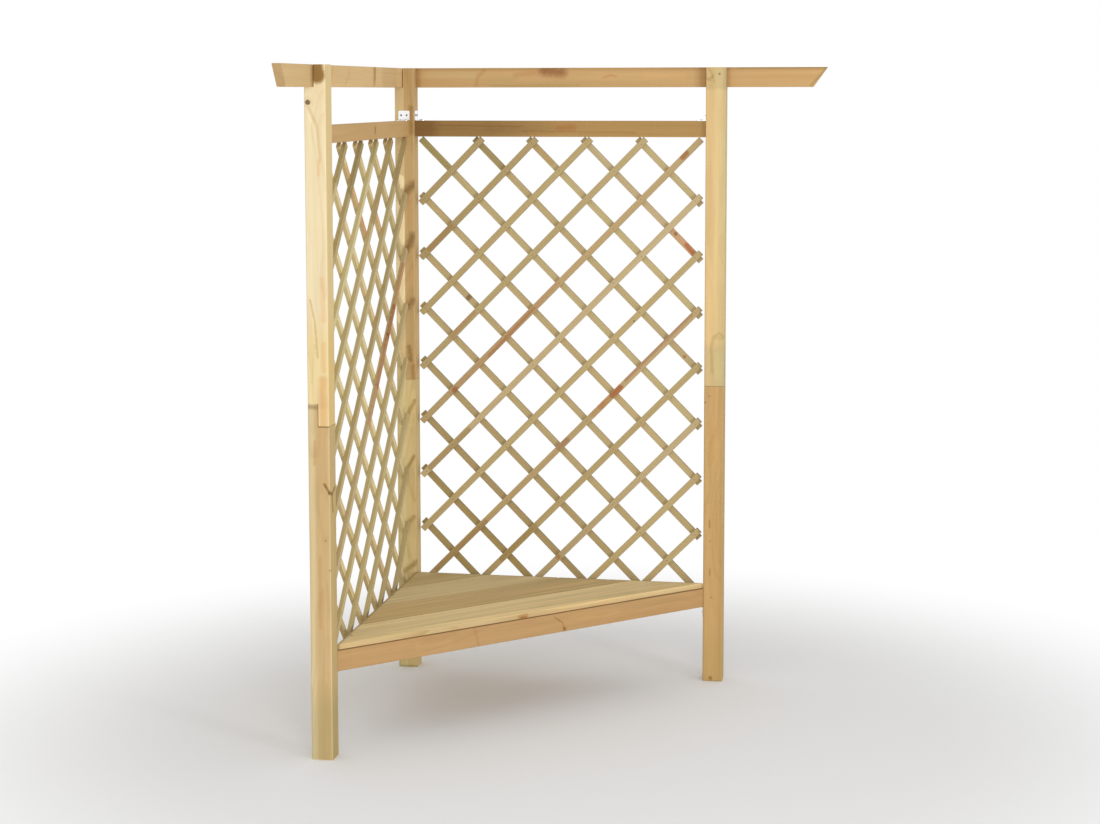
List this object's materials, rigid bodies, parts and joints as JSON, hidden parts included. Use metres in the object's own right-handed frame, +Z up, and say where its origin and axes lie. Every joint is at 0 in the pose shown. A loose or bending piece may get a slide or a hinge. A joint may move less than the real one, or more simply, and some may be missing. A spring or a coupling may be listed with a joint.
{
  "type": "arbour seat",
  "caption": "Corner garden seat: lapped timber posts carry overhanging top rails, two crossed-lath trellis walls and a three-cornered boarded seat with a front apron.",
  "frame": {"origin": "on the ground, in the middle of the rectangle that the arbour covers seen from above, rail ends included", "axes": "+Z up. The corner post stands at -X and +Y; the right wall runs from it along +X and the left wall along -Y, and the seat faces between +X and -Y"},
  "size_m": [1.512, 1.484, 2.15],
  "materials": {
    "post_timber": "planed pressure-treated pine, honey with a green tint",
    "rail_timber": "planed pressure-treated pine, browner than the posts",
    "lath_timber": "planed pressure-treated pine laths, yellow-green",
    "seat_timber": "planed pressure-treated pine boards with eased edges",
    "bearer_timber": "planed pressure-treated pine, hidden under the seat",
    "zinc_plated_steel": "bright zinc plate"
  },
  "bodies": {
    "root": {"bracket_screws": "zinc_plated_steel", "corner_post_lower": "post_timber", "corner_post_upper": "post_timber", "lap_screws": "zinc_plated_steel", "left_apron_bracket": "zinc_plated_steel", "left_back_laths_1": "lath_timber", "left_back_laths_2": "lath_timber", "left_back_laths_3": "lath_timber", "left_back_laths_4": "lath_timber", "left_back_laths_5": "lath_timber", "left_bearer_bracket": "zinc_plated_steel", "left_front_laths_1": "lath_timber", "left_front_laths_2": "lath_timber", "left_front_laths_3": "lath_timber", "left_front_laths_4": "lath_timber", "left_front_laths_5": "lath_timber", "left_middle_bracket": "zinc_plated_steel", "left_post_lower": "post_timber", "left_post_upper": "post_timber", "left_rail_corner_bracket": "zinc_plated_steel", "left_rail_end_bracket": "zinc_plated_steel", "left_seat_bearer": "bearer_timber", "left_top_rail": "rail_timber", "left_trellis_rail": "rail_timber", "middle_seat_bearer": "bearer_timber", "right_apron_bracket": "zinc_plated_steel", "right_back_laths_1": "lath_timber", "right_back_laths_2": "lath_timber", "right_back_laths_3": "lath_timber", "right_back_laths_4": "lath_timber", "right_back_laths_5": "lath_timber", "right_bearer_bracket": "zinc_plated_steel", "right_front_laths_1": "lath_timber", "right_front_laths_2": "lath_timber", "right_front_laths_3": "lath_timber", "right_front_laths_4": "lath_timber", "right_front_laths_5": "lath_timber", "right_middle_bracket": "zinc_plated_steel", "right_post_lower": "post_timber", "right_post_upper": "post_timber", "right_rail_corner_bracket": "zinc_plated_steel", "right_rail_end_bracket": "zinc_plated_steel", "right_seat_bearer": "bearer_timber", "right_top_rail": "rail_timber", "right_trellis_rail": "rail_timber", "seat_apron": "seat_timber", "seat_board_1": "seat_timber", "seat_board_2": "seat_timber", "seat_board_3": "seat_timber", "seat_board_4": "seat_timber", "seat_screws": "zinc_plated_steel", "top_rail_screws": "zinc_plated_steel"}
  },
  "joints": []
}
